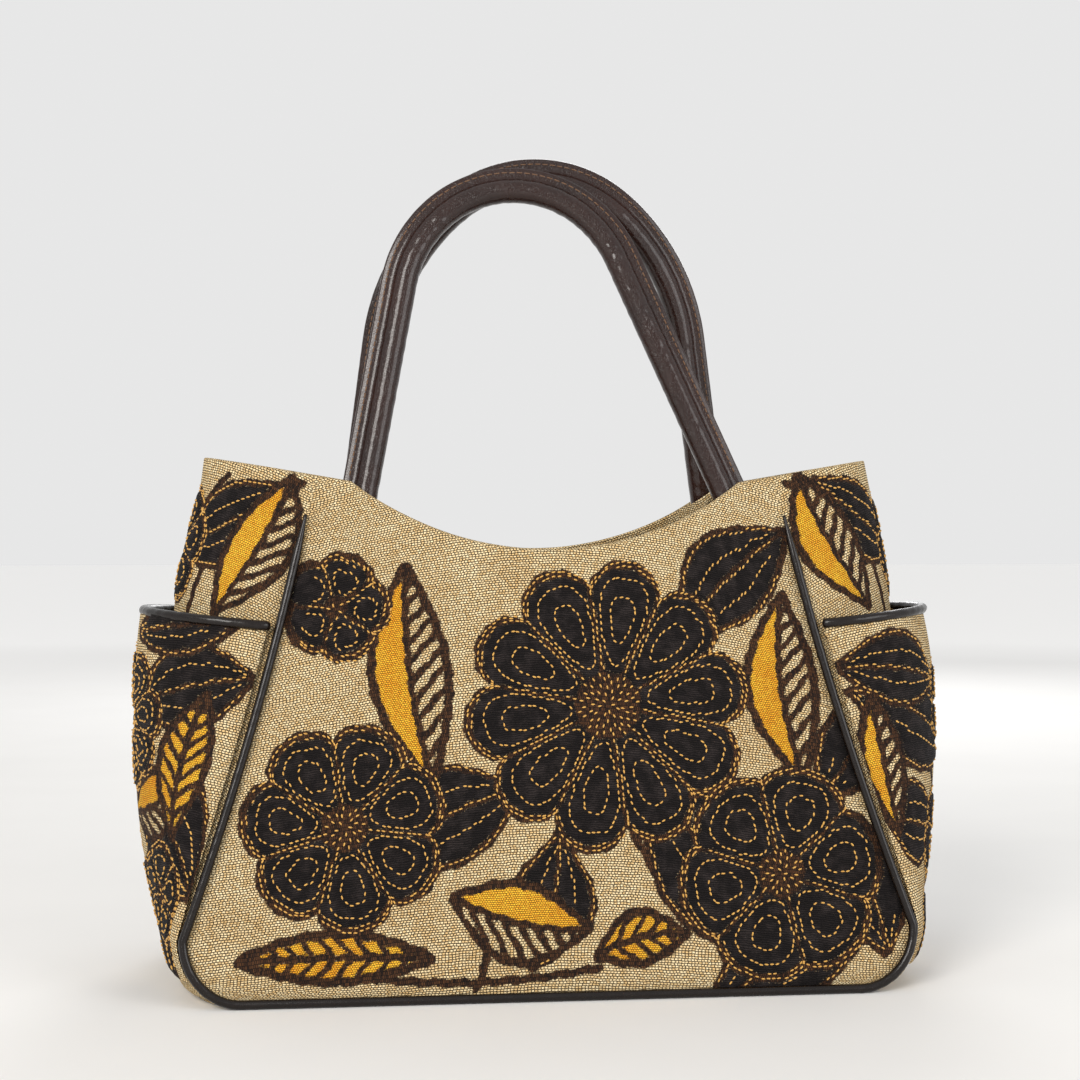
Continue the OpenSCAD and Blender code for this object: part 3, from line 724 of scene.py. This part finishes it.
lining_levels = np.concatenate([np.linspace(0, 0.2, 10), np.linspace(0.2, 1, 26)[1:]])
lining_rings = [ring(lambda rim, w=w: lerp(FLOOR_Z + LINING_T, rim - FACING_H, w), LINING_INSET + LINING_T)
                for w in lining_levels]
lining, s, t = ring_sheet("lining_cloth", lining_rings, LINING_CLOTH, "lining_cloth", ["lining"], ["bottom"])
floor_area = np.ptp(lining_rings[0][:, 0]) * np.ptp(lining_rings[0][:, 1])
girth = float(np.ptp(s, axis=1).max())

base_rings = [ring(lambda rim, z=z: z + 0 * rim, PANEL_T + inset)
              for z, inset in ((0.0, 2.2), (0.0, 1.0), (0.5, 0.5), (1.7, 0.5), (2.2, 1.0))]
base, s, t = ring_sheet("base_cloth", base_rings, TAPESTRY, "tapestry", ["base_panel"], ["bottom", "top"])


# Piping, bindings and handles as swept tubes

def tube(name, path, radius, side, material, slot, nodes, sides=20, wrinkle=0.0, seed=1, turn=False):
    path = np.asarray(path, float)
    ahead = np.gradient(path, axis=0)
    ahead /= np.linalg.norm(ahead, axis=-1, keepdims=True)
    across = np.cross(side, ahead)
    across /= np.linalg.norm(across, axis=-1, keepdims=True)
    up = np.cross(ahead, across)
    walked = np.concatenate([[0], np.cumsum(np.linalg.norm(np.diff(path, axis=0), axis=-1))])
    a = np.linspace(0, 2 * math.pi, sides + 1)[:-1]
    rng = np.random.default_rng(seed)
    swell = sum(np.sin(walked[:, None] * f + p + 2 * np.sin(a + q)[None, :])
                for f, p, q in rng.uniform((0.35, 0, 0), (1.3, 6.3, 6.3), (5, 3))) / 5
    r = np.broadcast_to(radius, len(path))[:, None] * (1 + wrinkle * swell)
    grid = path[:, None] + r[..., None] * (np.cos(a)[None, :, None] * across[:, None]
                                           + np.sin(a)[None, :, None] * up[:, None])
    faces = [list(f) for f in grid_faces(len(path), sides, wrap=True)]
    faces += [list(range(sides))[::-1], list(range((len(path) - 1) * sides, len(path) * sides))]
    return dress(mesh_object(name, grid, faces, material, turn=turn), slot, *nodes)


def piping_path():
    top = front_rim(1.0) - PIPING_DROP
    z = np.concatenate([np.linspace(top, CORNER_H, 130),
                        PIPING_R + (CORNER_H - PIPING_R) * (1 - sind(np.linspace(0, 90, 40)[1:]))])
    out = PIPING_R + LAYER_GAP
    step = 180 / SIDE_COLS
    lean = np.arctan2(seam_y(z) * (1 - cosd(step)), (side_x(z) - seam_x(z)) * sind(step)) / 2
    right = np.stack([seam_x(z) + out * np.sin(lean), -seam_y(z) - out * np.cos(lean), z], -1)
    run = np.linspace(1, -1, 90)[1:-1, None] * [right[-1, 0], 0, 0] + [0, right[-1, 1], right[-1, 2]]
    return np.concatenate([right, run, right[::-1] * [-1, 1, 1]])


pipe = piping_path()
from_end = np.minimum(np.arange(len(pipe)), np.arange(len(pipe))[::-1])
pipe_r = PIPING_R * (0.4 + 0.6 * smooth(from_end / 14))
for name, turn in (("front_piping", False), ("back_piping", True)):
    tube(name + "_cord", pipe, pipe_r, [0, 1, 0], PIPING_LEATHER, "piping", [name],
         wrinkle=0.05, seed=21 + turn, turn=turn)

mouth = np.linspace(0, 1, 150)
bind = pocket_point(mouth, 1.0, lerp(BINDING_R, POCKET_T / 2, sind(180 * mouth))) + [0, 0, BINDING_R * 0.6]
for name, turn in (("right_pocket_binding", False), ("left_pocket_binding", True)):
    tube(name + "_roll", bind, BINDING_R, [0, 0, 1], PIPING_LEATHER, "piping", [name],
         wrinkle=0.06, seed=31 + turn, turn=turn)


def arch_stations(arch):
    """Places and headings along a handle, from foot to foot, in the handle's own plane."""
    lean, sway, shoulder_r, top_r = arch
    left, right, m = lean - sway, lean + sway, SHOULDER_LEAN
    wide = 2 * HANDLE_X - shoulder_r * (cosd(left) + cosd(right) - 2 * cosd(m)) - 2 * top_r * cosd(m)
    high = shoulder_r * (sind(left) - sind(right))
    legs = np.array([wide * cosd(right) + high * sind(right), wide * cosd(left) - high * sind(left)])
    legs = legs / sind(left + right)
    stations = [(0.0, 0.0, left)]
    for length, radius, turn in ((legs[0] + TUCK, 0, 0), (0, shoulder_r, m - left), (0, top_r, 180 - 2 * m),
                                 (0, shoulder_r, m - right), (legs[1] + TUCK, 0, 0)):
        x, z, a = stations[-1]
        if turn == 0:
            for d in np.linspace(0, length, 70)[1:]:
                stations.append((x + d * sind(a), z + d * cosd(a), a))
        else:
            for b in a + np.linspace(0, turn, 40)[1:]:
                stations.append((x + radius * (cosd(a) - cosd(b)), z + radius * (sind(b) - sind(a)), b))
    rise = max(z for _, z, _ in stations) - TUCK * cosd(left)
    return np.array(stations), rise


def at_front_rim(points, left, rise):
    foot_y = front_depth(HANDLE_X / MOUTH_X, WING_H) - FACING_INSET - HANDLE_R
    lean = math.asin((foot_y - HANDLE_R - HANDLE_GAP / 2) / rise)
    p = points + np.array([-TUCK * sind(left), 0, -TUCK * cosd(left)])
    y = p[..., 1] * math.cos(lean) + p[..., 2] * math.sin(lean) - foot_y
    z = -p[..., 1] * math.sin(lean) + p[..., 2] * math.cos(lean) + WING_H
    return np.stack([p[..., 0] - HANDLE_X, y, z], -1)


def cover_section():
    """Closed outline of the rolled cover and its flange, the flange on the +X side."""
    neck = math.asin(FLANGE_T / 2 / HANDLE_R)
    a = np.linspace(neck * 1.5, 2 * math.pi - neck * 1.5, 30)
    roll = HANDLE_R * np.stack([np.cos(a), np.sin(a)], -1)
    tip = HANDLE_R + FLANGE_W
    half = FLANGE_T / 2
    lower = [[HANDLE_R + 0.7, -half * 1.05], [HANDLE_R + 2.2, -half], [tip - 0.9, -half], [tip - 0.2, -half * 0.6]]
    upper = [[x, -y] for x, y in lower[::-1]]
    return np.concatenate([roll, lower, [[tip, 0.0]], upper])


def handle(name, arch, node, seed, turn):
    stations, rise = arch_stations(arch)
    x, z, a = stations.T
    section = cover_section()
    rng = np.random.default_rng(seed)
    walked = np.concatenate([[0], np.cumsum(np.hypot(np.diff(x), np.diff(z)))])
    around = np.arctan2(section[:, 1], section[:, 0])
    swell = sum(np.sin(walked[:, None] * f + p + 2.5 * np.sin(around + q)[None, :])
                for f, p, q in rng.uniform((0.2, 0, 0), (1.1, 6.3, 6.3), (6, 3))) / 6
    puff = np.where(np.hypot(section[:, 0], section[:, 1]) < HANDLE_R * 1.05, 0.035, 0.006)
    cx, cy = section[:, 0] * (1 + puff * swell), section[:, 1] * (1 + puff * swell)
    grid = np.stack([x[:, None] - cx * cosd(a)[:, None], -cy, z[:, None] + cx * sind(a)[:, None]], -1)
    sides = len(section)
    faces = [list(f) for f in grid_faces(len(x), sides, wrap=True)]
    faces += [list(range(sides))[::-1], list(range((len(x) - 1) * sides, len(x) * sides))]
    points = at_front_rim(grid, a[0], rise)
    dress(mesh_object(name, points, faces, HANDLE_LEATHER, turn=turn), "handle_leather", node)
    seam_stitches(name + "_stitches", stations, walked, rise, turn)


def seam_stitches(name, stations, walked, rise, turn):
    """Row of thread stitches along both faces of the handle's flange."""
    x, z, a = stations.T
    at = np.arange(TUCK + 3, walked[-1] - TUCK - 3, SEAM_PITCH)
    out = HANDLE_R + FLANGE_W * 0.55
    points, faces = [], []
    for side in (-1, 1):
        for d in at:
            for end, thick in ((-1.15, 0.12), (-0.5, 0.42), (0.5, 0.42), (1.15, 0.12)):
                px, pz, pa = (np.interp(d + end, walked, v) for v in (x, z, a))
                for c, e in ((0.34, 0), (0, thick), (-0.34, 0), (0, -0.3)):
                    s = out + c
                    points.append([px - s * cosd(pa), side * (FLANGE_T / 2 + e), pz + s * sind(pa)])
            first = len(points) - 16
            for k in (0, 4, 8):
                for i in range(4):
                    p, q = first + k + i, first + k + (i + 1) % 4
                    faces.append((p, q, q + 4, p + 4))
            faces += [tuple(first + i for i in (3, 2, 1, 0)), tuple(first + 12 + i for i in range(4))]
    dress(mesh_object(name, at_front_rim(np.array(points), a[0], rise), faces, EDGE_THREAD, turn=turn),
          "handle_leather")


handle("front_handle_cover", FRONT_ARCH, "front_handle", 41, False)
handle("back_handle_cover", BACK_ARCH, "back_handle", 43, True)

for node, material in (("base_board", BOARD), ("front_handle_core", ROPE), ("back_handle_core", ROPE),
                       ("snap_socket", SNAP), ("snap_stud", SNAP)):
    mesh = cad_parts[node].data
    mesh.materials.clear()
    mesh.materials.append(material)

# Floor, lights and camera

# Half width of the floor in metres; where its lift begins, how fast it grows and how far it goes
FLOOR_HALF = 14.0
LIFT_FROM, LIFT_RATE, LIFT = 0.9, 0.5, 0.32


def backdrop():
    """Wide pale floor, lifted far from the bag to the tone of the world behind it."""
    ends = (-FLOOR_HALF / MM, FLOOR_HALF / MM)
    points = [(x, y, 0.0) for y in ends for x in ends]
    m = Shader("paper", Roughness=0.9)
    where = m.add("TexCoord").outputs["Object"]
    tone = m.noise(where, 9.0, 2.0).outputs["Fac"]
    rays = m.add("LightPath").outputs
    seen = m.math("ADD", rays["Is Camera Ray"], rays["Is Glossy Ray"], clamp=True)
    far = m.add("VectorMath", {0: where}, operation="LENGTH").outputs["Value"]
    rise = m.math("MULTIPLY", m.math("SUBTRACT", far, LIFT_FROM), LIFT_RATE, clamp=True)
    m.bsdf.inputs["Emission Color"].default_value = (1, 1, 1, 1)
    glow = m.math("MULTIPLY", seen, m.math("MULTIPLY", rise, LIFT))
    m.links.new(glow, m.bsdf.inputs["Emission Strength"])
    paper = m.finish(m.mix(tone, rgb(236, 235, 233), rgb(241, 240, 238)))
    mesh_object("backdrop", points, [(0, 1, 3, 2)], paper)


def area_light(name, place, target, size, power, colour=(1, 1, 1)):
    light = bpy.data.lights.new(name, "AREA")
    light.shape, light.size, light.energy, light.color = "DISK", size, power, colour
    obj = bpy.data.objects.new(name, light)
    obj.location = place
    obj.rotation_euler = (Vector(target) - Vector(place)).to_track_quat("-Z", "Y").to_euler()
    bpy.context.scene.collection.objects.link(obj)


backdrop()
MIDDLE = (0, 0, 0.19)
area_light("key", (-1.0, -1.6, 1.1), MIDDLE, 1.0, 30, (1.0, 0.97, 0.93))
area_light("fill", (1.4, -1.3, 0.7), MIDDLE, 1.2, 13)
area_light("rim", (0.4, 1.6, 1.1), MIDDLE, 1.0, 11)

# Light that the world gives, and the paler tone that it shows
WORLD_LIGHT, WORLD_SEEN = 0.6, 0.87
world = bpy.data.worlds.new("studio")
bpy.context.scene.world = world
world.use_nodes = True
sky = world.node_tree
sky.nodes["Background"].inputs["Color"].default_value = (0.92, 0.92, 0.92, 1)
rays = sky.nodes.new("ShaderNodeLightPath").outputs
seen = sky.nodes.new("ShaderNodeMath")
seen.operation, seen.use_clamp = "ADD", True
sky.links.new(rays["Is Camera Ray"], seen.inputs[0])
sky.links.new(rays["Is Glossy Ray"], seen.inputs[1])
level = sky.nodes.new("ShaderNodeMapRange")
level.inputs["To Min"].default_value, level.inputs["To Max"].default_value = WORLD_LIGHT, WORLD_SEEN
sky.links.new(seen.outputs[0], level.inputs["Value"])
sky.links.new(level.outputs["Result"], sky.nodes["Background"].inputs["Strength"])

# Camera of the photograph: bearing, height, distance and the frame's field of view
CAMERA_BEARING, CAMERA_HEIGHT, CAMERA_DISTANCE = -6.0, 0.209, 0.88
FIELD_OF_VIEW = 2 * math.atan(1080 / 2 / 1780)
camera = bpy.data.cameras.new("camera")
camera.sensor_fit = "HORIZONTAL"
camera.angle = FIELD_OF_VIEW
eye = bpy.data.objects.new("camera", camera)
bearing = math.radians(CAMERA_BEARING)
eye.location = (CAMERA_DISTANCE * math.sin(bearing), -CAMERA_DISTANCE * math.cos(bearing), CAMERA_HEIGHT)
eye.rotation_euler = (math.pi / 2, 0, bearing)
bpy.context.scene.collection.objects.link(eye)
bpy.context.scene.camera = eye
bpy.context.scene.view_settings.view_transform = "Standard"
